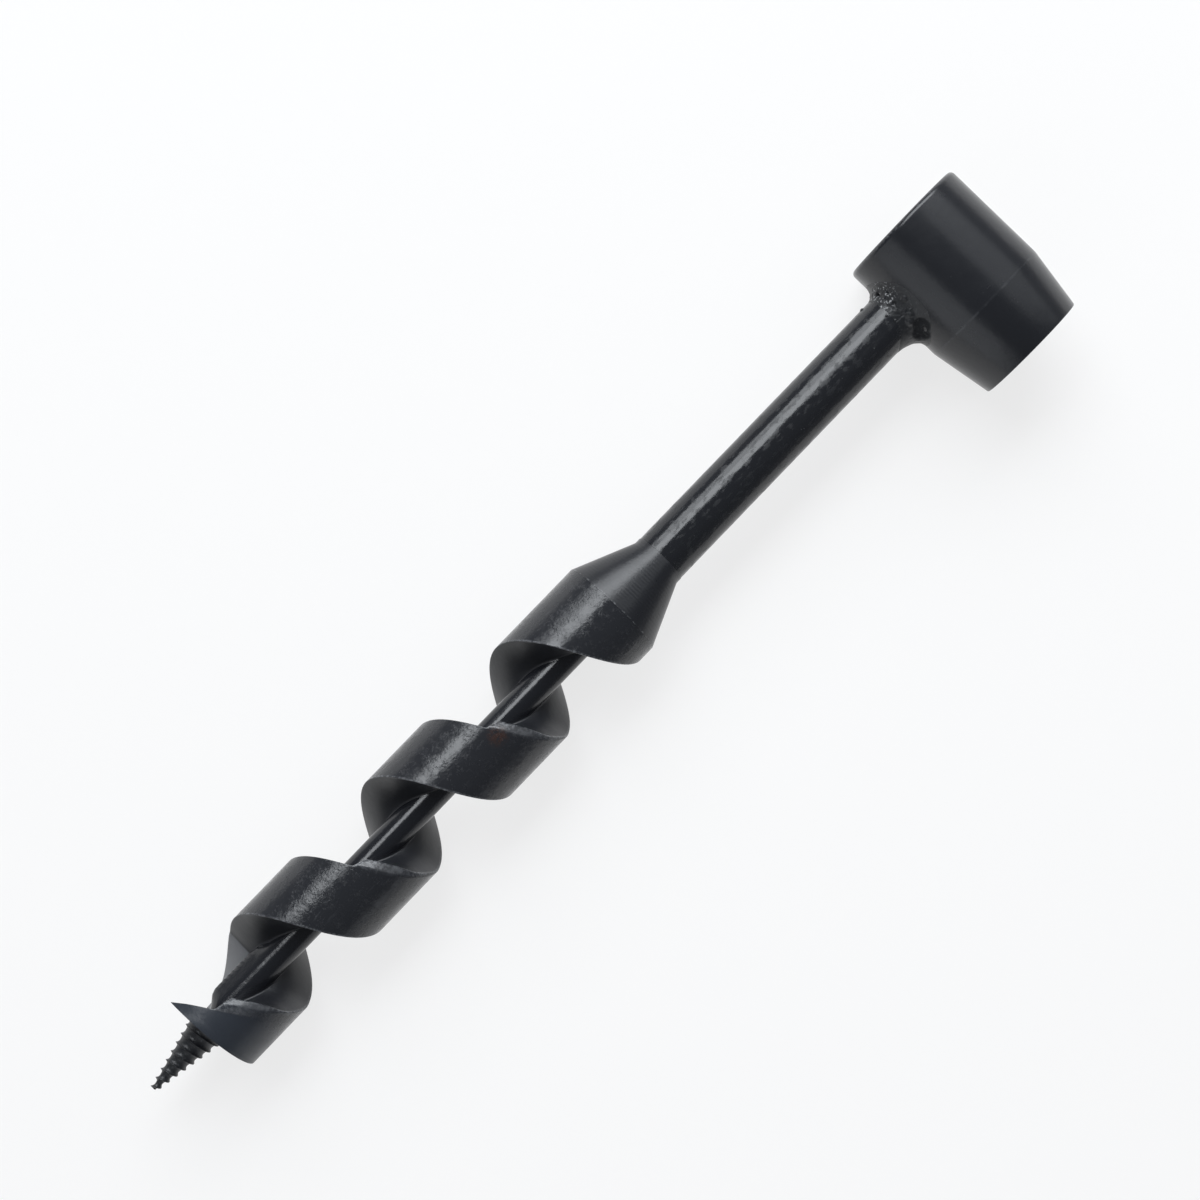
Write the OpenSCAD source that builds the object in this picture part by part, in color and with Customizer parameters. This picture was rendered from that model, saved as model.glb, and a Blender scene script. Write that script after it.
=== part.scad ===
// Hand auger with a T-handle eye: it lies along X, tip toward -X, with the eye's bore along Y.
// The origin is where the bore's axis crosses the tool's axis. Millimetres.

/* [Eye] */
// Bore that takes the wooden handle
eye_bore_d = 24; // [20:0.5:32]
// Wall of the eye's straight part
eye_wall = 4.25; // [3:0.05:8]
// Wall left at the eye's narrow end
eye_narrow_wall = 1.85; // [1.2:0.05:2.9]
// From the tool's axis to the plain end
eye_plain_l = 13.9; // [12:0.1:20]
// From the tool's axis to where the taper starts
eye_straight_l = 12.9; // [11.5:0.1:16]
// Length of the tapered part
eye_taper_l = 14.9; // [8:0.1:25]
// Rounding of the plain end's outer edge
eye_round = 1.2; // [0.4:0.1:2]
// Rounding of the narrow end's outer edge
eye_narrow_round = 0.3; // [0.1:0.1:0.6]
// Chamfer at both ends of the bore
bore_chamfer = 0.5; // [0.2:0.1:0.8]

/* [Shank and collar] */
// Diameter of the round shank
shank_d = 12.8; // [11:0.1:14]
// From the eye's axis to the shoulder where the shank meets the collar
shank_l = 94.7; // [60:0.5:200]
// Diameter of the shank's spigot inside the collar
spigot_d = 9; // [6:0.1:9.6]
// Length of the spigot
spigot_l = 12; // [6:0.5:14]
// Radial clearance of the spigot in its socket
spigot_gap = 0.05; // [0.02:0.01:0.15]
// Depth left free below the spigot
socket_spare = 0.5; // [0.2:0.1:1]
// Length of the collar's straight neck
neck_l = 1.5; // [0.8:0.1:4]
// Length of the collar's cone
cone_l = 14.5; // [12:0.5:25]
// Step from the shank's surface out to the neck's
neck_step = 0.1; // [0.05:0.05:0.5]

/* [Twist] */
// Diameter over the flight
flight_d = 25.4; // [22:0.2:32]
// Diameter of the solid core
core_d = 7; // [6:0.1:9]
// Length of one turn, right hand
twist_pitch = 41.7; // [36:0.1:50]
// Width of the land along the axis
land_w = 17.7; // [15:0.1:20]
// Length from the collar to the cutting lip
twist_l = 129.5; // [100:0.5:180]
// Fillet between the land's faces and the core
root_fillet = 2; // [1:0.1:2.4]

/* [Cutting head] */
// Height of the lip in front of the heel of the end face
lip_relief = 2; // [1:0.1:3]
// How far the lip's edge is ground down from the land's edge
lip_drop = 2; // [0.5:0.1:3]
// Length over which that grinding fades out
lip_run = 20; // [12:0.5:25]
// Radius of the cutter that opened the throat
throat_r = 11.7; // [9:0.1:14]
// Length of the throat along the axis
throat_l = 15.5; // [12:0.5:18]
// Core radius left at the throat
throat_core_r = 2.4; // [2.2:0.1:3]
// Height of the web that the cutter left beside the core
web_h = 1.4; // [0.4:0.1:2]

/* [Lead screw] */
// Diameter over the thread at the head
screw_d = 9.8; // [7:0.1:11]
// Diameter over the thread at the tip
screw_tip_d = 1.9; // [1:0.1:3]
// Length of the thread
screw_l = 18.1; // [12:0.1:24]
// Pitch of the thread, right hand
screw_pitch = 2.15; // [1.6:0.05:3]
// Depth of the thread at the head
thread_depth = 1.4; // [0.8:0.1:1.8]
// Diameter of the tang that is pressed into the core
tang_d = 3; // [2:0.1:3.4]
// Length of the tang
tang_l = 9; // [5:0.5:14]
// Lean of the screw toward the eye's tapered side, in degrees
screw_lean = 2.4; // [0:0.1:4]

/* [Weld] */
// Leg of the weld along the shank, at the plain side
weld_plain_leg = 2.9; // [1.5:0.1:5]
// Leg of the weld over the eye, at the plain side
weld_plain_rise = 3.1; // [1.5:0.1:4.5]
// Leg of the weld along the shank, at the tapered side
weld_taper_leg = 6.6; // [3:0.1:9]
// Leg of the weld over the eye, at the tapered side
weld_taper_rise = 4.1; // [2:0.1:5]
// Leg of the weld along the shank, at the front and the back
weld_front_leg = 3.4; // [1.5:0.1:5]
// Leg of the weld round the eye, at the front and the back
weld_front_rise = 4.6; // [2:0.1:6]

/* [Hidden] */
$fn = 64;
overrun = 1;

eye_bore_r = eye_bore_d / 2;
eye_r = eye_bore_r + eye_wall;
eye_narrow_r = eye_bore_r + eye_narrow_wall;
flight_r = flight_d / 2;
core_r = core_d / 2;
shank_r = shank_d / 2;
neck_r = shank_r + neck_step;
eye_narrow_y = eye_straight_l + eye_taper_l;

// Places along the tool's axis, all toward the tip from the eye
collar_top_x = -shank_l;
cone_top_x = collar_top_x - neck_l;
collar_x = cone_top_x - cone_l;
lip_x = collar_x - twist_l;
heel_x = lip_x + lip_relief;
screw_x = lip_x + lip_relief / 2;

// Turned about the axis: 0 degrees is up, and the angle grows with X along the helix
function around(x, r, a) = [x, -r * sin(a), r * cos(a)];
function smooth(t) = let (k = max(0, min(1, t))) k * k * (3 - 2 * k);
function steps(n) = [for (i = [0:n - 1]) i / n];

module along_tool() rotate([0, 90, 0]) children();

// Eye: a turned sleeve, straight at its plain end and tapered at the other

round_steps = 5;

// Quarter of a circle about a centre, from straight down to the right
function corner_arc(cx, cy, r) =
    [for (i = [0:round_steps]) let (a = 90 * (i / round_steps - 1)) [cx + r * cos(a), cy + r * sin(a)]];

module eye_outline() {
    polygon(concat(
        [[eye_bore_r, bore_chamfer - eye_plain_l], [eye_bore_r + bore_chamfer, -eye_plain_l]],
        corner_arc(eye_r - eye_round, eye_round - eye_plain_l, eye_round),
        [[eye_r, eye_straight_l], [eye_narrow_r, eye_narrow_y - eye_narrow_round],
            [eye_narrow_r - eye_narrow_round, eye_narrow_y],
            [eye_bore_r + bore_chamfer, eye_narrow_y],
            [eye_bore_r, eye_narrow_y - bore_chamfer]]));
}

module handle_eye() {
    color("#35363a") rotate([90, 0, 0]) rotate_extrude() eye_outline();
}

// Welds between the eye and the shank: one run on each side, and they meet at the front and the
// back. Each ring of points is the section at one angle: from the toe on the shank over the
// hollow face to the toe on the eye, and back along the eye to the corner of the two pieces.

weld_turn_steps = 32;
weld_face_steps = 6;
weld_hollow_share = 0.8;
weld_front_a = 12;
weld_back_a = 190;

function weld_size(a, front, plain, taper) =
    front + ((sin(a) < 0 ? plain : taper) - front) * pow(sin(a), 2);
function on_eye(r, a) = [-sqrt(eye_r * eye_r - pow(r * cos(a), 2)), r];

function weld_section(a) =
    let (leg = weld_size(a, weld_front_leg, weld_plain_leg, weld_taper_leg),
        rise = weld_size(a, weld_front_rise, weld_plain_rise, weld_taper_rise),
        corner = on_eye(shank_r, a), toe = corner - [leg, 0], top = on_eye(shank_r + rise, a),
        pull = weld_hollow_share * corner + (1 - weld_hollow_share) * (toe + top) / 2)
    concat(
        [for (t = steps(weld_face_steps))
            (1 - t) * (1 - t) * toe + 2 * t * (1 - t) * pull + t * t * top],
        [top, on_eye(shank_r + rise / 2, a), corner]);

module weld(a0, a1) {
    count = ceil((a1 - a0) / 360 * weld_turn_steps);
    rings = [for (i = [0:count]) let (a = a0 + (a1 - a0) * i / count)
        [for (p = weld_section(a)) around(p[0], p[1], a)]];
    n = len(rings[0]);
    walls = [for (i = [0:count - 1], j = [0:n - 1])
        let (p = i * n + j, q = i * n + (j + 1) % n)
        each [[p, q, p + n], [q, q + n, p + n]]];
    caps = [for (j = [1:n - 2]) each
        [[n - 1, j, j - 1], [count * n + n - 1, count * n + j - 1, count * n + j]]];
    polyhedron(points = [for (q = rings) each q], faces = concat(walls, caps));
}

module weld_plain_side() {
    color("#3a3a3b") weld(weld_back_a - 360, weld_front_a);
}

module weld_taper_side() {
    color("#3a3a3b") weld(weld_front_a, weld_back_a);
}

// Shank: its top is coped to the eye, and its spigot sits in the collar

module shank() {
    color("#2f3136") difference() {
        union() {
            translate([collar_top_x, 0, 0]) along_tool() cylinder(r = shank_r, h = shank_l);
            translate([collar_top_x - spigot_l, 0, 0]) along_tool()
                cylinder(d = spigot_d, h = spigot_l + overrun);
        }
        rotate([90, 0, 0]) cylinder(r = eye_r, h = 4 * eye_r, center = true);
    }
}

// Collar: a turned cone, its wide end on the twist and its neck round the shank's spigot

module collar() {
    socket_l = spigot_l + socket_spare;
    color("#303236") difference() {
        union() {
            translate([collar_x, 0, 0]) along_tool()
                cylinder(r1 = flight_r, r2 = neck_r, h = cone_l);
            translate([cone_top_x, 0, 0]) along_tool() cylinder(r = neck_r, h = neck_l);
        }
        translate([collar_top_x - socket_l, 0, 0]) along_tool()
            cylinder(r = spigot_d / 2 + spigot_gap, h = socket_l + overrun);
    }
}

// Twist: one land winds round a solid core. Each ring of points is the section at one place
// along the axis: the rim from the land's leading edge to its trailing edge, then the flute.
// The flute runs out below the collar, and the throat opens it behind the cutting lip.

ring_turn_steps = 36;
rim_steps = 12;
fillet_steps = 3;
floor_steps = 7;
lip_a = -50;
throat_a = 195;
runout_a = 225;
runout_from_a = 95;
runout_depth_share = 0.3;
heel_a = 90;
web_full_a = 275;
web_end_a = 335;
thin_core_share = 0.2;
web_from_share = 0.22;
web_full_share = 0.42;
web_to_share = 1.6;
face_share = 0.9;
seat_spare_share = 0.04;
fan_share = 0.2;

land_x0 = lip_x + lip_drop - twist_pitch * lip_a / 360;
land_turn = 360 * land_w / twist_pitch;
throat_a_per_l2 = 180 / (PI * flight_r * 2 * throat_r);
last_turn = 360 * floor((collar_x - land_x0 + land_w) / twist_pitch);

function lead_a(x) =
    let (k = max(0, 1 - (x - lip_x) / lip_run)) 360 * (x + lip_drop * k * k - land_x0) / twist_pitch;
function helix_trail_a(x) = 360 * (x - land_x0) / twist_pitch + land_turn;
function throat_trail_a(x) = throat_a + throat_a_per_l2 * pow(max(0, x - heel_x), 2);
function trail_a(x) =
    x < heel_x + throat_l ? max(helix_trail_a(x), throat_trail_a(x)) : helix_trail_a(x);
function flute_end_a(x) = min(lead_a(x) + 360, last_turn + runout_a);
function web_r(x, a) =
    let (t = (x - heel_x) / throat_l)
    web_h * smooth((t - web_from_share) / (web_full_share - web_from_share))
        * smooth((web_to_share - t) / (web_to_share - 1))
        * smooth((web_end_a - a) / (web_end_a - web_full_a));
function throat_r_at(x, a) =
    let (t = (x - heel_x) / throat_l)
    throat_core_r + (core_r - throat_core_r)
        * smooth((t - thin_core_share) / (web_full_share - thin_core_share)) + web_r(x, a);
function floor_r(x, a) =
    throat_r_at(x, a) + (flight_r * (1 - runout_depth_share) - core_r)
        * smooth((a - last_turn - runout_from_a) / (runout_a - runout_from_a));

function fillet_a(r) = root_fillet / r * 180 / PI;

function section(x, a0, a1, a2) =
    let (r1 = floor_r(x, a1), r2 = floor_r(x, a2), f1 = fillet_a(r1), f2 = fillet_a(r2))
    concat(
        [for (t = steps(rim_steps)) [flight_r, a0 + (a1 - a0) * t]],
        [[flight_r, a1]],
        [for (t = steps(fillet_steps))
            [r1 + root_fillet * (1 - sin(90 * t)), a1 + f1 * (1 - cos(90 * t))]],
        [for (t = steps(floor_steps)) let (a = a1 + f1 + (a2 - f2 - a1 - f1) * t)
            [floor_r(x, a), a]],
        [for (t = steps(fillet_steps)) let (q = 90 * (1 - t))
            [r2 + root_fillet * (1 - sin(q)), a2 - f2 * (1 - cos(q))]],
        [[r2 + root_fillet, a2]]);

function ring(x) =
    let (end_a = flute_end_a(x))
    [for (p = section(x, end_a - 360, trail_a(x), end_a)) around(x, p[0], p[1])];

// The end face falls back from the lip to its heel, for clearance, round the screw's flat seat
function end_section() = section(heel_x, lip_a, trail_a(heel_x), 360 + lip_a);
function end_ring() =
    [for (p = end_section())
        let (k = max(0, 1 - (p[1] - lip_a) / (heel_a - lip_a)))
        around(heel_x - lip_relief * k, p[0], p[1])];
function on_seat(r, a) =
    let (p = around(screw_x, r, a)) [p[0] - p[1] * tan(screw_lean), p[1], p[2]];
function seat_ring() =
    [for (p = end_section())
        on_seat(min(face_share * p[0], screw_d / 2 * (1 + seat_spare_share)), p[1])];

module twist_body() {
    ring_step = twist_pitch / ring_turn_steps;
    count = floor((collar_x - heel_x) / ring_step);
    first = collar_x - count * ring_step;
    rings = concat([seat_ring(), end_ring()], [for (i = [1:count]) ring(first + i * ring_step)]);
    n = len(rings[0]);
    points = concat([for (q = rings) each q], [
        on_seat(fan_share * throat_core_r, (lip_a + trail_a(heel_x)) / 2),
        around(collar_x, fan_share * throat_core_r,
            (flute_end_a(collar_x) - 360 + trail_a(collar_x)) / 2)]);
    last = n * (len(rings) - 1);
    walls = [for (i = [0:len(rings) - 2], j = [0:n - 1])
        let (p = i * n + j, q = i * n + (j + 1) % n)
        each [[p, p + n, q], [q, p + n, q + n]]];
    foot = [for (j = [0:n - 1]) [len(points) - 2, j, (j + 1) % n]];
    head = [for (j = [0:n - 1]) [len(points) - 1, last + (j + 1) % n, last + j]];
    polyhedron(points = points, faces = concat(walls, foot, head));
}

module at_seat() translate([screw_x, 0, 0]) rotate([0, 0, screw_lean]) children();

module twist() {
    color("#33353a") difference() {
        twist_body();
        at_seat() translate([-overrun, 0, 0]) along_tool() cylinder(d = tang_d, h = tang_l + overrun);
    }
}

// Lead screw: a tapered single thread that pulls the auger into the wood. It leans a little.

screw_points = 18;
screw_turn_steps = 14;

module lead_screw() {
    turns = screw_l / screw_pitch;
    screw_r = screw_d / 2;
    color("#303338") at_seat() {
        along_tool() cylinder(d = tang_d, h = tang_l);
        rotate([0, -90, 0]) linear_extrude(height = screw_l, twist = -360 * turns,
            scale = screw_tip_d / screw_d, slices = ceil(turns * screw_turn_steps),
            segments = screw_points)
            polygon([for (t = steps(screw_points))
                let (r = screw_r - thread_depth * (1 - abs(1 - 2 * t)))
                [r * cos(360 * t), r * sin(360 * t)]]);
    }
}

handle_eye();
weld_plain_side();
weld_taper_side();
shank();
collar();
twist();
lead_screw();
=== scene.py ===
"""A black hand auger with a cross eye for its wooden handle, lying on a pale studio floor."""

import math

import bmesh
import bpy
from mathutils import Matrix, Vector, noise


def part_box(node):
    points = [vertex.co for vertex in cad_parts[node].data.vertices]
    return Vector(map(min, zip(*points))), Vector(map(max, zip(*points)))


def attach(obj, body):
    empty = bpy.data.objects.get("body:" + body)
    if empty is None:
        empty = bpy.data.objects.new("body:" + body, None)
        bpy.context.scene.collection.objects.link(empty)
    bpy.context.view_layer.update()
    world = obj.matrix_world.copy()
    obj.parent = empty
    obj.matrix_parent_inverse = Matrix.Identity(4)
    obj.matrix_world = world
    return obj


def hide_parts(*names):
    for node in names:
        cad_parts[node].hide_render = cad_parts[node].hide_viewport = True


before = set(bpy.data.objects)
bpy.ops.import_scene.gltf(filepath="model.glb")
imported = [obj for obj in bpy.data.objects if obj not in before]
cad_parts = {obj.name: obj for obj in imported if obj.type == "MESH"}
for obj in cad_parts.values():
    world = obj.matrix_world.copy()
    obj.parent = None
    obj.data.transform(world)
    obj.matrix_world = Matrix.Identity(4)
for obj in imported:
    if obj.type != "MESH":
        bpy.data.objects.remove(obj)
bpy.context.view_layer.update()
scene = bpy.context.scene

# The cross eye: a short sleeve of thick tube that a wooden handle goes through. It was turned
# straight at one end and tapered at the other, then blackened, and its edges have worn bright.

MM = 0.001
same_point, close = 1e-6, 0.1 * MM
lathe_steps, ridge_angle, crease_angle = 240, math.radians(8), math.radians(35)
black_coat_ior = 1.5
eye_low, eye_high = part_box("handle_eye")
eye_r, eye_bore_r, eye_narrow_r = 16.25 * MM, 12 * MM, 13.85 * MM
taper_y, bore_chamfer = -12.9 * MM, 0.5 * MM
plain_edge_r, taper_edge_r = 1.2 * MM, 0.35 * MM
narrow_edge_r, bore_edge_r = 0.3 * MM, 0.12 * MM
eye_wander, eye_relief = 0.5 * MM, 0.05 * MM
eye_coat, eye_steel = (0.0125, 0.0135, 0.0165, 1), (0.16, 0.165, 0.175, 1)


def turned(outline, axis, side):
    """A solid turned about an axis through the origin from points (along, radius)."""
    bm = bmesh.new()
    ring = [bm.verts.new(axis * along + side * radius) for along, radius in outline]
    chain = [bm.edges.new(pair) for pair in zip(ring, ring[1:])]
    bmesh.ops.spin(bm, geom=ring + chain, cent=(0, 0, 0), axis=axis, angle=2 * math.pi,
                   steps=lathe_steps, use_merge=True)
    bmesh.ops.remove_doubles(bm, verts=bm.verts, dist=same_point)
    bmesh.ops.recalc_face_normals(bm, faces=bm.faces)
    return bm


def round_off(bm, width, segments, where):
    """Rounds the sharp rings whose points answer to a rule."""
    rings = [e for e in bm.edges if e.calc_face_angle(0) > ridge_angle and where(e.verts[0].co)]
    bmesh.ops.bevel(bm, geom=rings, offset=width, segments=segments, profile=0.5,
                    affect="EDGES", material=-1)


def dress(name, bm, finish, slot, *nodes):
    """Makes the piece, smooth but for its sharp edges, and hides the solids that it stands for."""
    bmesh.ops.remove_doubles(bm, verts=bm.verts, dist=same_point)
    bmesh.ops.recalc_face_normals(bm, faces=bm.faces)
    bmesh.ops.triangulate(bm, faces=[f for f in bm.faces if len(f.verts) > 4])
    mesh = bpy.data.meshes.new(name)
    bm.to_mesh(mesh)
    bm.free()
    mesh.polygons.foreach_set("use_smooth", [True] * len(mesh.polygons))
    mesh.set_sharp_from_angle(angle=crease_angle)
    mesh.materials.append(finish)
    piece = bpy.data.objects.new(name, mesh)
    scene.collection.objects.link(piece)
    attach(piece, "root")
    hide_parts(*nodes)


class Shade:
    """A number or a colour that varies over a finish. Sums of numbers add Math nodes."""

    def __init__(self, tree, socket=None):
        self.tree, self.socket = tree, socket

    def node(self, kind, settings, sockets, out=0):
        made = self.tree.nodes.new(kind)
        for key, value in settings.items():
            setattr(made, key, value)
        for key, value in sockets.items():
            if isinstance(value, Shade):
                self.tree.links.new(value.socket, made.inputs[key])
            else:
                made.inputs[key].default_value = value
        return Shade(self.tree, made.outputs[out])

    def math(self, operation, a, b=0.0):
        return self.node("ShaderNodeMath", {"operation": operation}, {0: a, 1: b})

    def __add__(self, other):
        return self.math("ADD", self, other)

    def __sub__(self, other):
        return self.math("SUBTRACT", self, other)

    def __rsub__(self, other):
        return self.math("SUBTRACT", other, self)

    def __mul__(self, other):
        return self.math("MULTIPLY", self, other)

    __radd__, __rmul__ = __add__, __mul__

    def __abs__(self):
        return self.math("ABSOLUTE", self)

    def fade(self, low, high):
        """0 below the first value and 1 above the second, or the reverse."""
        return self.node("ShaderNodeMapRange", {"interpolation_type": "SMOOTHSTEP"},
                         {"Value": self, "From Min": low, "From Max": high})

    def grain(self, size, detail=3.0, roughness=0.55, stretch=(1, 1, 1)):
        """Cloudy noise with marks of about this size in metres, on the piece itself."""
        spot = self.node("ShaderNodeMapping", {}, {"Vector": self, "Scale": stretch})
        return self.node("ShaderNodeTexNoise", {}, {"Vector": spot, "Scale": 1 / size,
                                                    "Detail": detail, "Roughness": roughness})

    def axis(self, out):
        return self.node("ShaderNodeSeparateXYZ", {}, {0: self}, out)

    def away(self, spot):
        """The distance from a point."""
        return self.node("ShaderNodeVectorMath", {"operation": "DISTANCE"}, {0: self, 1: spot}, 1)

    def blend(self, low, high):
        """A colour between two others, by this number."""
        return self.node("ShaderNodeMix", {"data_type": "RGBA"}, {0: self, 6: low, 7: high}, 2)

    def feed(self, shader, socket):
        self.tree.links.new(self.socket, shader.inputs[socket])


def start_finish(name):
    """A new finish: its material, its shader, and the place on the piece."""
    finish = bpy.data.materials.new(name)
    finish.use_nodes = True
    shader = finish.node_tree.nodes["Principled BSDF"]
    shader.inputs["IOR"].default_value = black_coat_ior
    place = Shade(finish.node_tree).node("ShaderNodeTexCoord", {}, {}, "Object")
    return finish, shader, place


def relief(height, depth, shader):
    """Turns a height from 0 to 1 into relief of this depth in metres."""
    height.node("ShaderNodeBump", {}, {"Strength": 1.0, "Distance": depth,
                                       "Height": height}).feed(shader, "Normal")


eye_black, shader, place = start_finish("eye_black")
cloud, peel, mottle = place.grain(9 * MM), place.grain(0.9 * MM, 4.0), place.grain(2.6 * MM, 4.0)
along = place.axis("Y") + eye_wander * (mottle - 0.5)
taper_line = abs(along - taper_y).fade(0.42 * MM, 0.08 * MM)
end_line = along.fade(eye_high.y - 0.9 * MM, eye_high.y - 0.4 * MM)
worn = (taper_line * (0.2 + 0.8 * mottle.fade(0.42, 0.6)) * 0.13
        + end_line * peel.fade(0.5, 0.68) * 0.35)
scuffs = place.grain(0.35 * MM, 2.0).fade(0.72, 0.8) * cloud.fade(0.45, 0.65)
(worn + scuffs * 0.4).blend(eye_coat, eye_steel).feed(shader, "Base Color")
(0.25 + 0.1 * (mottle - 0.5) + 0.06 * (cloud - 0.5)).feed(shader, "Roughness")
relief(peel * 0.4 + mottle * 0.7 + cloud * 1.6, eye_relief, shader)

outline = [(eye_high.y - bore_chamfer, eye_bore_r), (eye_high.y, eye_bore_r + bore_chamfer),
           (eye_high.y, eye_r), (taper_y, eye_r), (eye_low.y, eye_narrow_r),
           (eye_low.y, eye_bore_r + bore_chamfer), (eye_low.y + bore_chamfer, eye_bore_r)]
bm = turned(outline + outline[:1], Vector((0, 1, 0)), Vector((0, 0, 1)))
round_off(bm, plain_edge_r, 6, lambda p: p.y > eye_high.y - close and p.xz.length > eye_r - close)
round_off(bm, taper_edge_r, 3, lambda p: abs(p.y - taper_y) < close)
round_off(bm, narrow_edge_r, 3,
          lambda p: p.y < eye_low.y + close and p.xz.length > eye_narrow_r - 2 * close)
round_off(bm, bore_edge_r, 2, lambda p: p.xz.length < eye_bore_r + 1.5 * bore_chamfer)
dress("eye_sleeve", bm, eye_black, "eye_finish", "handle_eye")

# The welds: two runs of bead round the shank where it butts on the eye. The one on the eye's
# plain side is porous, and the one on the tapered side is smooth and flows along the shank.

shank_r = 6.4 * MM
front_leg, front_rise = 4.4 * MM, 4.6 * MM
bead_depth_mm, seat_margin_mm = 0.9, 0.6
plain_leg, plain_rise, taper_leg, taper_rise = 2.9 * MM, 3.1 * MM, 6.6 * MM, 4.1 * MM
plain_turns = math.radians(-171), math.radians(13.5)
taper_turns = math.radians(10.5), math.radians(191)
bead_rings, bead_stations, bead_voxel = 90, 36, 0.13 * MM
lump_size, grit_size, weld_relief = 1.6 * MM, 0.38 * MM, 0.12 * MM
scale_black, spatter_grey = (0.011, 0.012, 0.014, 1), (0.3, 0.305, 0.31, 1)


def weld_size(turn, front, side):
    """A bead's leg at one angle: its own at the side, and the common one at front and back."""
    return front + (side - front) * math.sin(turn) ** 2


def on_eye(radius, turn):
    """Where a line along the shank, this far from its axis, meets the eye's face."""
    return Vector((-math.sqrt(eye_r ** 2 - (radius * math.cos(turn)) ** 2), radius))


def bead_point(turn, station, leg, rise):
    """A point on the bead's section: over its hollow face, and back inside the metal."""
    corner = on_eye(shank_r, turn)
    toe = corner - Vector((leg, 0))
    top = on_eye(shank_r + rise, turn)
    pull = 0.8 * corner + 0.2 * (toe + top) / 2
    if station <= 1:
        return (1 - station) ** 2 * toe + 2 * station * (1 - station) * pull + station ** 2 * top
    inside = corner + Vector((bead_depth_mm, -bead_depth_mm)) * MM
    return top.lerp(inside, station - 1) if station <= 2 else inside.lerp(toe, station - 2)


def soften(bm, times):
    for _ in range(times):
        bmesh.ops.smooth_vert(bm, verts=bm.verts, factor=0.5, use_axis_x=True, use_axis_y=True,
                              use_axis_z=True)


def weld_bead(name, node, finish, turns, leg, rise, rough, pits, drops=()):
    """One run of bead. A pit is a centre, a size and a depth in mm, and a depth below 0 makes it
    a lump. A drop of spatter is a centre and a radius."""
    bm = bmesh.new()
    bmesh.ops.create_grid(bm, x_segments=bead_stations, y_segments=bead_rings, size=0.5)
    for v in bm.verts:
        turn = turns[0] + (turns[1] - turns[0]) * (v.co.y + 0.5)
        x, radius = bead_point(turn, 3 * (v.co.x + 0.5), weld_size(turn, front_leg, leg),
                               weld_size(turn, front_rise, rise))
        v.co = x, -radius * math.sin(turn), radius * math.cos(turn)
    bmesh.ops.remove_doubles(bm, verts=bm.verts, dist=same_point)
    bmesh.ops.holes_fill(bm, edges=bm.edges, sides=0)
    bmesh.ops.recalc_face_normals(bm, faces=bm.faces)
    rough_mesh = bpy.data.meshes.new(name + "_sweep")
    bm.to_mesh(rough_mesh)
    holder = bpy.data.objects.new(name + "_sweep", rough_mesh)
    scene.collection.objects.link(holder)
    remesh = holder.modifiers.new("even", "REMESH")
    remesh.mode, remesh.voxel_size = "VOXEL", bead_voxel
    even = bpy.data.meshes.new_from_object(
        holder.evaluated_get(bpy.context.evaluated_depsgraph_get()))
    bm.clear()
    bm.from_mesh(even)
    bmesh.ops.recalc_face_normals(bm, faces=bm.faces)
    if bm.calc_volume(signed=True) < 0:
        bmesh.ops.reverse_faces(bm, faces=bm.faces)
    soften(bm, 1)
    bm.normal_update()
    moves = []
    for v in bm.verts:
        lump = noise.fractal(v.co / lump_size, 0.8, 2.1, 3)
        grit = noise.noise(v.co / grit_size)
        clear = min(v.co.xz.length - eye_r, v.co.yz.length - shank_r) / MM
        inside = max(0, min(1, clear / seat_margin_mm))
        move = rough * (0.16 * lump + 0.07 * grit) * inside
        dents = [depth * math.exp(-((v.co - Vector(centre) * MM).length / (size * MM)) ** 4)
                 for centre, size, depth in pits]
        moves.append(v.normal * (move - (max(dents) + min(0, min(dents))) * inside) * MM)
    for v, move in zip(bm.verts, moves):
        v.co += move
    soften(bm, 3)
    for centre, size in drops:
        bmesh.ops.create_icosphere(bm, subdivisions=3, radius=size * MM,
                                   matrix=Matrix.Translation(Vector(centre) * MM))
    bpy.data.objects.remove(holder)
    bpy.data.meshes.remove(rough_mesh)
    bpy.data.meshes.remove(even)
    dress(name, bm, finish, "weld_finish", node)


weld_black, shader, place = start_finish("weld_black")
scale, spots = place.grain(1.1 * MM, 5.0, 0.65), place.grain(0.32 * MM, 2.0)
porous = place.away((-17.2 * MM, 5.5 * MM, 4.5 * MM)).fade(5.5 * MM, 2.5 * MM)
spatter = place.grain(0.55 * MM, 1.0).fade(0.58, 0.68) * (0.06 + 0.94 * porous)
spatter.blend(scale_black, spatter_grey).feed(shader, "Base Color")
pocket_ends = [place.away(Vector(end) * MM) for end in ((-16.4, -7.2, 4), (-15.5, -5.9, 6))]
pocket = place.math("MINIMUM", *pocket_ends).fade(2.5 * MM, 1.7 * MM)
(0.36 + 0.25 * (scale - 0.5) + 0.1 * spots + 0.6 * pocket).feed(shader, "Roughness")
relief((scale + 0.4 * spots) * (0.35 + 0.65 * porous), weld_relief, shader)

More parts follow.
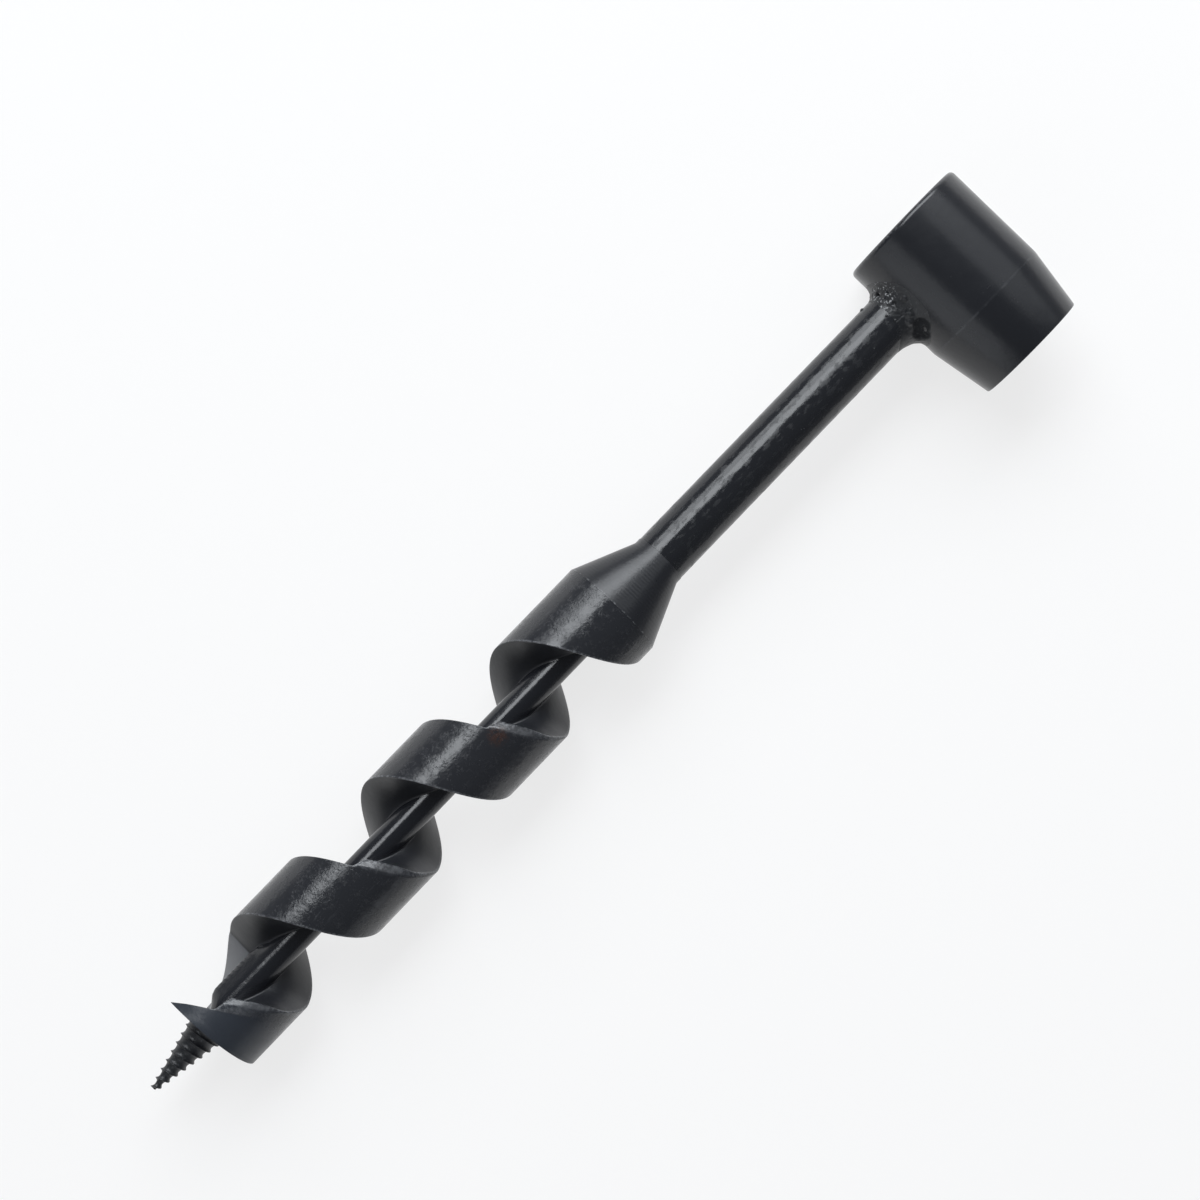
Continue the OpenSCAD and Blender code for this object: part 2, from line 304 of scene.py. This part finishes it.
weld_bead("weld_bead_plain", "weld_plain_side", weld_black, plain_turns, plain_leg, plain_rise, 1.3,
          [((-17.2, 6.1, 3.8), 0.55, 1.4), ((-15.8, 4.7, 6.2), 0.4, 0.6),
           ((-14.7, 6.7, 7.1), 0.35, 0.5), ((-18.0, 3.0, 6.2), 0.35, 0.5),
           ((-16.6, 2.0, 7.0), 0.5, 0.5), ((-16.4, 7.6, 4.2), 0.35, 0.5),
           ((-14.6, 1.2, 8.2), 0.8, -0.5), ((-13.8, 2.6, 8.9), 0.7, -0.4)],
          [((-21.4, 6.0, 0.95), 0.65), ((-19.8, 1.3, 6.2), 0.35), ((-19.1, -0.8, 6.25), 0.4)])
weld_bead("weld_bead_taper", "weld_taper_side", weld_black, taper_turns, taper_leg, taper_rise, 0.6,
          [((-16.6, -7.6, 3.3), 1.5, 0.7), ((-16.1, -6.6, 4.9), 1.8, 0.8),
           ((-15.4, -5.5, 6.4), 1.5, 0.7), ((-16.9, -3.4, 6.2), 0.9, -0.4),
           ((-16.0, -2.2, 6.9), 0.9, -0.4), ((-15.2, -0.9, 7.5), 0.9, -0.4)])

# The shank: a plain round bar, coped to the eye at the top and let into the collar at the
# bottom. Its black coat is glossy, with a few nicks down to the steel.

shank_coat, nick_steel = (0.0115, 0.0125, 0.015, 1), (0.17, 0.175, 0.18, 1)
shank_relief = 0.03 * MM

shank_black, shader, place = start_finish("shank_black")
cloud, peel = place.grain(14 * MM), place.grain(1.1 * MM, 3.0, 0.5, (0.5, 1, 1))
nicks = place.grain(0.4 * MM, 1.0).fade(0.74, 0.8) * place.grain(5 * MM).fade(0.56, 0.66)
nicks.blend(shank_coat, nick_steel).feed(shader, "Base Color")
(0.14 + 0.08 * (cloud - 0.5) + 0.3 * peel.fade(0.48, 0.7)).feed(shader, "Roughness")
relief(peel + 2.5 * cloud, shank_relief, shader)
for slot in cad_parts["shank"].material_slots:
    slot.material = shank_black

# The collar: a cone that was turned in a lathe, its neck round the shank and its wide end on the
# twist. The tool left fine rings on it, which catch the light.

collar_low, collar_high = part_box("collar")
collar_r, cone_top_x = collar_high.z, -96.2 * MM
neck_r, socket_r, socket_l = 6.5 * MM, 4.55 * MM, 12.5 * MM
collar_edge_r, tool_feed, collar_relief = 0.12 * MM, 0.78 * MM, 0.02 * MM
collar_coat, chip_steel = (0.013, 0.014, 0.017, 1), (0.17, 0.175, 0.18, 1)

outline = [(collar_low.x, 0), (collar_low.x, collar_r), (cone_top_x, neck_r),
           (collar_high.x, neck_r), (collar_high.x, socket_r),
           (collar_high.x - socket_l, socket_r), (collar_high.x - socket_l, 0)]
bm = turned(outline, Vector((1, 0, 0)), Vector((0, 0, 1)))
round_off(bm, collar_edge_r, 2,
          lambda p: p.x < collar_low.x + close and p.yz.length > collar_r - close)
round_off(bm, collar_edge_r, 2,
          lambda p: p.x > collar_high.x - close and p.yz.length > neck_r - close)

collar_black, shader, place = start_finish("collar_black")
peel, mottle = place.grain(0.8 * MM, 4.0), place.grain(3 * MM)
along = place.axis("X")
rings = 0.5 + 0.5 * along.math("SINE", along * (2 * math.pi / tool_feed) + 3 * mottle)
chip = along.fade(collar_low.x + 0.45 * MM, collar_low.x + 0.2 * MM) * peel.fade(0.5, 0.62)
(chip * 0.5).blend(collar_coat, chip_steel).feed(shader, "Base Color")
(0.3 + 0.1 * (mottle - 0.5) + 0.08 * (peel - 0.5)).feed(shader, "Roughness")
relief(rings * mottle.fade(0.35, 0.65) + peel * 1.2, collar_relief, shader)
dress("collar_cone", bm, collar_black, "shank_finish", "collar")

# The twist: one bar, forged and twisted so that one broad land winds round a solid core. Its end
# is made into a lip by grinding, behind an open throat, and the land's edge toward the eye is worn
# bright; that edge also carries a painted highlight, strongest from the lamps' side over the top.
# The face that grinding left in the throat, and a patch of the first edge, are painted pale: partly
# steel, partly a painted reflection of the floor. Its sizes and the screw's are in millimetres and
# degrees.

twist_low, twist_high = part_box("twist")
collar_x, lip_x = twist_high.x / MM, twist_low.x / MM
heel_drop, seat_drop, heel_a, seat_r, face_r = 2, 1, 90, 2.2, 5.1
heel_x, seat_x = lip_x + heel_drop, lip_x + seat_drop
flight_r, core_r, root_fillet, sharp_r = 12.7, 3.5, 0.4, 0.03
pitch, land_w, lip_drop, lip_run, lip_a = 41.7, 17.7, 2, 20, -50
throat_l, throat_r, throat_a, throat_fade, throat_core_r = 15.5, 11.9, 195, 1.6, 2.3
facet_a, facet_half_a, facet_end_share = 316, 44, 1.6
runout_from_a, runout_a, runout_share = 95, 225, 0.7
lip_roll, lip_flat, land_roll, land_flat, roll_slope = 2.9, 1.6, 2.3, 0.6, 0.7
roll_end_a, roll_most_a = 200, 32
rings_per_turn, face_rows = 120, 3
twist_relief, rust_spot = 0.045 * MM, (-149.4 * MM, -1.2 * MM, 12.6 * MM)
twist_coat, twist_steel = (0.0115, 0.0125, 0.0155, 1), (0.16, 0.165, 0.175, 1)
rust_brown, lip_coat = (0.05, 0.022, 0.014, 1), (0.026, 0.031, 0.04, 1)
land_turn = 360 * land_w / pitch
edge_slant = math.degrees(math.hypot(1 / flight_r, 2 * math.pi / pitch))
land_x0 = lip_x + lip_drop - pitch * lip_a / 360
last_turn = 360 * math.floor((collar_x - land_x0 + land_w) / pitch)


def smooth(t):
    """An even rise from 0 to 1."""
    k = max(0, min(1, t))
    return k * k * (3 - 2 * k)


def lead_edge(x):
    """The angle of the land's edge toward the eye. It is ground back toward the lip."""
    k = max(0, 1 - (x - lip_x) / lip_run)
    return 360 * (x + lip_drop * k * k - land_x0) / pitch


def trail_edge(x):
    """The angle of the land's edge toward the tip, which the throat has cut back at the end."""
    helix = 360 * (x - land_x0) / pitch + land_turn
    throat = throat_a + math.degrees(max(0, x - heel_x) ** 2 / (2 * flight_r * throat_r))
    cut = max(helix, throat)
    return helix + (cut - helix) * smooth((heel_x + throat_l + throat_fade - x) / throat_fade)


def flute_floor(x, turn):
    """The core's radius: thin at the lip, with a flat back in the throat, rising at the run-out."""
    t = (x - heel_x) / throat_l
    flat = smooth((t - 0.1) / 0.3) * smooth((facet_end_share - t) / 0.6)
    off = math.radians(max(0, min(facet_half_a, facet_a - turn)))
    radius = throat_core_r + (core_r - throat_core_r) * smooth((t - 0.05) / 0.25)
    runout = smooth((turn - last_turn - runout_from_a) / (runout_a - runout_from_a))
    return radius * (1 + flat * (1 / math.cos(off) - 1)) + (
        flight_r * runout_share - core_r) * runout


def rolled_over(turn):
    """How far the land's edge toward the eye is rolled over, once a turn, and its flat part. It
    is widest just behind the lip."""
    part = (turn + 180) % 360 - 180
    width = smooth((part + 9) / 6) * (1 - 0.5 * smooth((part - 15) / 50)) * (
        1 - smooth((part - 60) / 45))
    return (lip_roll * width, lip_flat) if turn < 180 else (land_roll * width, land_flat)


def edge_roll(lead):
    """The same for one edge, whose rolled part lies at a smaller angle than the edge itself."""
    low, high = lead - roll_most_a, lead
    for _ in range(20):
        mid = (low + high) / 2
        low, high = (mid, high) if mid + edge_slant * rolled_over(mid)[0] < lead else (low, mid)
    return rolled_over(high)


def section_point(kind, t, x, lead, trail, end):
    """A radius and an angle on the twist's section. Its corners are worn a little, but for the
    lip's, which are sharp."""
    blunt = smooth((x - lip_x - heel_drop) / 5)
    worn_lead, worn_trail = sharp_r + 0.17 * blunt, sharp_r + 0.15 * blunt
    roll, flat = edge_roll(end - 360)
    roll *= blunt * (end < last_turn + roll_end_a)
    if kind == "lead_corner":
        out = roll - (roll + worn_lead) * t * t
        near = max(0, (out - roll) / worn_lead + 1)
        drop = roll_slope * max(0, out - flat) + worn_lead * (1 - math.sqrt(1 - near * near))
        return flight_r - drop, lead - edge_slant * out
    turn_trail = edge_slant * worn_trail
    if kind == "rim":
        low, high = lead + edge_slant * worn_lead, trail - turn_trail
        return flight_r, low + (high - low) * t
    if kind == "trail_corner":
        return flight_r - worn_trail * (1 - math.cos(t)), trail - turn_trail * (1 - math.sin(t))
    root_trail, root_lead = flute_floor(x, trail), flute_floor(x, end)
    turn_trail = math.degrees(root_fillet / root_trail)
    turn_lead = math.degrees(root_fillet / root_lead)
    if kind == "trail_flank":
        top, foot = flight_r - worn_trail, root_trail + root_fillet
        return top + (foot - top) * t, trail
    if kind == "trail_root":
        return (root_trail + root_fillet * (1 - math.sin(t)),
                trail + turn_trail * (1 - math.cos(t)))
    if kind == "floor":
        turn = trail + turn_trail + (end - turn_lead - trail - turn_trail) * t
        return flute_floor(x, turn), turn
    if kind == "lead_root":
        return root_lead + root_fillet * (1 - math.cos(t)), end - turn_lead * (1 - math.sin(t))
    top = flight_r - worn_lead - roll_slope * max(0, roll - flat)
    foot = root_lead + root_fillet
    return foot + (top - foot) * t, end - edge_slant * roll * t


def around(x, radius, turn):
    """A point on the twist or the screw, from millimetres and degrees about the tool's axis."""
    turn = math.radians(turn)
    return Vector((x, -radius * math.sin(turn), radius * math.cos(turn))) * MM


quarter = math.pi / 2
stations = [(kind, span * i / count) for kind, span, count in (
    ("lead_corner", 1, 12), ("rim", 1, 44), ("trail_corner", quarter, 3),
    ("trail_flank", 1, 16), ("trail_root", quarter, 7), ("floor", 1, 26),
    ("lead_root", quarter, 7), ("lead_flank", 1, 16)) for i in range(count)]
ring_count = round((collar_x - heel_x) / pitch * rings_per_turn)
last_row = face_rows + ring_count + 1
bm = bmesh.new()
bmesh.ops.create_grid(bm, x_segments=len(stations), y_segments=last_row, size=0.5)
worn_edge_and_sheen = bm.verts.layers.float.new("worn_edge_and_sheen")
on_land = bm.verts.layers.float.new("on_land")
on_core = bm.verts.layers.float.new("on_core")
ground = bm.verts.layers.float.new("ground")
for v in bm.verts:
    kind, t = stations[round((v.co.x + 0.5) * len(stations)) % len(stations)]
    row = round((v.co.y + 0.5) * last_row)
    x = heel_x + (collar_x - heel_x) * min(max(row - face_rows, 0), ring_count) / ring_count
    if row <= face_rows:
        radius, turn = section_point(kind, t, heel_x, lip_a, trail_edge(heel_x), 360 + lip_a)
        face_x = heel_x - heel_drop * max(0, 1 - (turn - lip_a) / (heel_a - lip_a))
        if kind == "lead_flank":
            face_x = heel_x - heel_drop * t
        if row < face_rows:
            radius = (0, seat_r, min(0.9 * radius, face_r))[row]
            face_x = seat_x
        v.co = around(face_x, radius, turn)
    else:
        end = min(lead_edge(x) + 360, last_turn + runout_a)
        radius, turn = section_point(kind, t, x, end - 360, trail_edge(x), end)
        v.co = around(x, 0 if row == last_row else radius, turn)
    # The worn edge is fully bright from below, over the lamps' side, to just past the top, and
    # dimmer further round: that difference is a painted highlight.
    part = (lead_edge(x) + 180) % 360 - 180
    lamp_side_sheen = 1 - 0.55 * smooth((part - 12) / 30)
    v[worn_edge_and_sheen] = {"lead_corner": (1 - t) * lamp_side_sheen, "trail_corner": 0.6}.get(kind, 0)
    # This mark covers the face that grinding left in the throat, and a patch of the first edge near
    # the top. Both are painted pale: partly steel, partly a painted reflection, the patch fading
    # from the top.
    v[ground] = kind in ("trail_corner", "trail_flank") and heel_x < x < heel_x + throat_l + 0.8
    if kind == "lead_corner" and t > 0.6 and -10 < lead_edge(x) < 90:
        v[ground] = 0.3 * (1 - smooth((part - 15) / 25))
    v[on_land] = kind in ("lead_corner", "rim", "trail_corner")
    v[on_core] = kind == "floor"

twist_black, shader, place = start_finish("twist_black")
mark = {name: place.node("ShaderNodeAttribute", {"attribute_name": name}, {}, "Fac")
        for name in ("worn_edge_and_sheen", "on_land", "on_core", "ground")}
land, core = mark["on_land"], mark["on_core"]
cloud, mottle = place.grain(11 * MM), place.grain(2.2 * MM, 5.0, 0.65)
peel, pits = place.grain(0.75 * MM, 3.0, 0.5), place.grain(0.7 * MM, 2.0).fade(0.5, 0.72)
coat = place.axis("X").fade(twist_low.x + 16 * MM, twist_low.x + 6 * MM) * land * (
    1 - mark["worn_edge_and_sheen"]) * (1 - 2.5 * mark["ground"])
patchy = mottle.fade(0.38, 0.62) * (1 - 0.85 * coat)
specks = place.grain(0.36 * MM, 1.0).fade(0.69, 0.77) * patchy
chips = place.grain(0.9 * MM, 3.0, 0.6).fade(0.42, 0.6)
scratch = place.grain(0.55 * MM, 2.0, 0.5, (0.12, 1, 1)).fade(0.62, 0.7) * cloud.fade(0.45, 0.6)
# Bare steel shows at worn edges, specks and scratches; on the edge toward the eye part of this
# brightness is a painted highlight.
bare_and_sheen = mark["worn_edge_and_sheen"] * (0.2 + 0.9 * chips) + specks * land * 0.25 + scratch * land * 0.1
rust = place.away(rust_spot).fade(3.2 * MM, 0.8 * MM) * peel.fade(0.36, 0.6)
# The marked throat face and edge patch turn pale here, partly as a painted reflection of the floor.
steel = (bare_and_sheen + 0.7 * mark["ground"] + 0.04 * land).blend(twist_coat, twist_steel)
steel = (rust * 0.6).blend(steel, rust_brown)
(coat * 0.9).blend(steel, lip_coat).feed(shader, "Base Color")
flank = 1 - land.math("MAXIMUM", land, core)
(0.17 + 0.24 * flank + 0.17 * coat + 0.12 * land * patchy * peel.fade(0.4, 0.6)
 + 0.1 * (mottle - 0.5) + 0.22 * pits * land * patchy).feed(shader, "Roughness")
rough_skin = peel * (0.3 + 0.6 * patchy + mark["worn_edge_and_sheen"]) - pits * patchy * 0.6
relief(rough_skin * (0.25 + 0.75 * land) + mottle * 0.9 + cloud * 1.5, twist_relief, shader)
dress("twist_forging", bm, twist_black, "twist_finish", "twist")

# The lead screw: a tapered thread with thin crests that pulls the auger into the wood. It was cut
# on a separate point and set into the core, where it stands a little askew.

screw_base_r, screw_tip_r, screw_l, screw_pitch, crest_h = 4.9, 0.95, 18.1, 2.15, 0.65
crest_share, crest_run_in, point_share, screw_steps = 0.55, 3, 0.7, 72
screw_lean, screw_relief = math.radians(2.4), 0.05 * MM
screw_coat, crest_steel = (0.0115, 0.0125, 0.015, 1), (0.17, 0.175, 0.18, 1)
crest = [(0, 0), (0.1, 0), (0.22, 0.02), (0.34, 0.12), (0.46, 0.32), (0.56, 0.62), (0.63, 0.93),
         (0.66, 1), (0.69, 0.96), (0.73, 0.55), (0.78, 0.16), (0.84, 0.02), (0.92, 0)]
turns = math.ceil(screw_l / screw_pitch) + 2
bm = bmesh.new()
bmesh.ops.create_grid(bm, x_segments=turns * len(crest), y_segments=screw_steps, size=0.5)
for v in bm.verts:
    step = round((v.co.x + 0.5) * turns * len(crest))
    share, height = crest[step % len(crest)]
    turn = v.co.y + 0.5
    down = (step // len(crest) + share - 0.5 - turn) * screw_pitch
    inside = min(max(down, 0), screw_l)
    envelope = screw_base_r + (screw_tip_r - screw_base_r) * inside / screw_l
    tall = min(crest_h, crest_share * envelope) * smooth(inside / crest_run_in)
    radius = envelope - tall * (1 - height)
    past = abs(down - inside)
    radius *= max(0, 1 - past / (point_share * screw_pitch))
    v.co = around(-inside, radius, 360 * turn)
bmesh.ops.rotate(bm, verts=bm.verts, cent=(0, 0, 0), matrix=Matrix.Rotation(screw_lean, 3, "Z"))
bmesh.ops.translate(bm, verts=bm.verts, vec=(seat_x * MM, 0, 0))

screw_black, shader, place = start_finish("screw_black")
mottle, pits = place.grain(1.6 * MM, 4.0), place.grain(0.4 * MM, 3.0)
specks = place.grain(0.3 * MM, 1.0).fade(0.68, 0.76)
(specks * 0.5).blend(screw_coat, crest_steel).feed(shader, "Base Color")
(0.42 + 0.2 * (mottle - 0.5)).feed(shader, "Roughness")
relief(mottle + pits * 0.6, screw_relief, shader)
dress("screw_point", bm, screw_black, "screw_finish", "lead_screw")

# The studio: a pale floor that the tool rests on by its eye and its last land, two long soft lamps
# on the side of the eye's plain end, three weak lamps round the other sides, and a grey room. The
# floor's paleness is a painted pool of light, white near the tool and fading to grey far off. The
# camera looks down from above the middle of the tool.

rest_slope = math.atan2(eye_r / MM - flight_r, -lip_x)
middle, floor_half, lamp_off = (-0.11, 0, 0), 3, 1.2
pool_far, pool_near = 1.4, 0.26
painted_dim_floor, white_floor = (0.26, 0.26, 0.26, 1), (0.8, 0.8, 0.8, 1)
painted_dim_glow, white_glow, glow_share = (0.26, 0.26, 0.265, 1), (1, 1, 1, 1), 0.76
lamp_tint = 0.93, 0.965, 1
room_above, room_level = (0.125, 0.13, 0.14, 1), (0.24, 0.245, 0.26, 1)

bm = bmesh.new()
bmesh.ops.create_grid(bm, x_segments=1, y_segments=1, size=floor_half)
bmesh.ops.rotate(bm, verts=bm.verts, cent=(0, 0, 0), matrix=Matrix.Rotation(rest_slope, 3, "Y"))
bmesh.ops.translate(bm, verts=bm.verts, vec=(0, 0, -eye_r))
floor_mesh = bpy.data.meshes.new("floor")
bm.to_mesh(floor_mesh)
bm.free()

pale = bpy.data.materials.new("pale_floor")
pale.use_nodes = True
tree = pale.node_tree
tree.nodes.clear()
place = Shade(tree).node("ShaderNodeTexCoord", {}, {}, "Object")
# A painted pool of light: the floor's colour and glow fade from white near the tool to grey far
# off.
near = place.away(middle).fade(pool_far, pool_near)
matt = near.node("ShaderNodeBsdfDiffuse", {}, {"Color": near.blend(painted_dim_floor, white_floor)})
glow = near.node("ShaderNodeEmission", {}, {"Color": near.blend(painted_dim_glow, white_glow)})
# Where the camera or a mirror sees the floor, it mostly glows with its own colour, white near the
# tool and fading to grey further off as a painted pool of light.
rays = [Shade(tree).node("ShaderNodeLightPath", {}, {}, out)
        for out in ("Is Camera Ray", "Is Glossy Ray", "Is Transmission Ray")]
seen = rays[0].math("MAXIMUM", rays[0].math("MAXIMUM", rays[0], rays[1]), rays[2])
mixed = seen.node("ShaderNodeMixShader", {}, {0: seen * glow_share, 1: matt, 2: glow})
mixed.feed(tree.nodes.new("ShaderNodeOutputMaterial"), "Surface")
floor_mesh.materials.append(pale)
floor = bpy.data.objects.new("floor", floor_mesh)
scene.collection.objects.link(floor)


def lamp(name, about, low, high, start, stop, glow):
    """A flat lamp that reaches from one angle off the vertical to another. It is long along the
    axis that it turns about, from start to stop, and a glow of 1 is white."""
    light = bpy.data.lights.new(name, "AREA")
    light.shape, light.size = "RECTANGLE", stop - start
    light.size_y = 2 * lamp_off * math.tan(math.radians(high - low) / 2)
    light.energy = glow * math.pi * light.size * light.size_y
    light.color = lamp_tint
    holder = bpy.data.objects.new(name, light)
    lean = Matrix.Rotation(math.radians(-(low + high) / 2), 4, "X")
    turn = Matrix.Rotation(math.radians(about), 4, "Z")
    holder.matrix_world = Matrix.Translation(middle) @ turn @ lean @ (
        Matrix.Translation(((start + stop) / 2, 0, lamp_off)))
    holder.visible_camera = False
    scene.collection.objects.link(holder)


lamp("long_lamp", 0, 22.5, 45, -0.2, 1.9, 6.4)
lamp("side_lamp", 0, 45, 66, 0.08, 1.9, 4.4)
lamp("tip_fill", 90, 41, 88, -0.8, 0.3, 0.85)
lamp("eye_fill", -90, 22, 69, -0.6, 0.6, 0.75)
lamp("low_fill", 180, 73, 89, 0.05, 1.3, 0.5)

room = bpy.data.worlds.new("room")
room.use_nodes = True
height = Shade(room.node_tree).node("ShaderNodeTexCoord", {}, {}, "Generated").axis("Z")
height.fade(0.5, 0.1).blend(room_above, room_level).feed(
    room.node_tree.nodes["Background"], "Color")
scene.world = room

camera = bpy.data.cameras.new("camera")
camera.sensor_width, camera.lens, camera.clip_start = 36, 74.16, 0.01
tilt_x, tilt_n, roll = 0.0962449, 0.0038580, 0.00036741
turned_view = (Matrix.Rotation(roll, 3, "Z") @ Matrix.Rotation(tilt_n, 3, "X")
               @ Matrix.Rotation(tilt_x, 3, "Y"))
rows = [Vector((r[0], -r[1], r[2])) for r in turned_view]
lie = math.radians(46.04)
axes = (math.cos(lie) * rows[0] + math.sin(lie) * rows[1],
        math.sin(lie) * rows[0] - math.cos(lie) * rows[1], rows[2])
camera_object = bpy.data.objects.new("camera", camera)
camera_object.matrix_world = Matrix.Translation((-0.164681, 0.00115, 0.555472)) @ (
    Matrix(axes).transposed().to_4x4())
scene.collection.objects.link(camera_object)
scene.camera = camera_object
scene.view_settings.view_transform = "Standard"
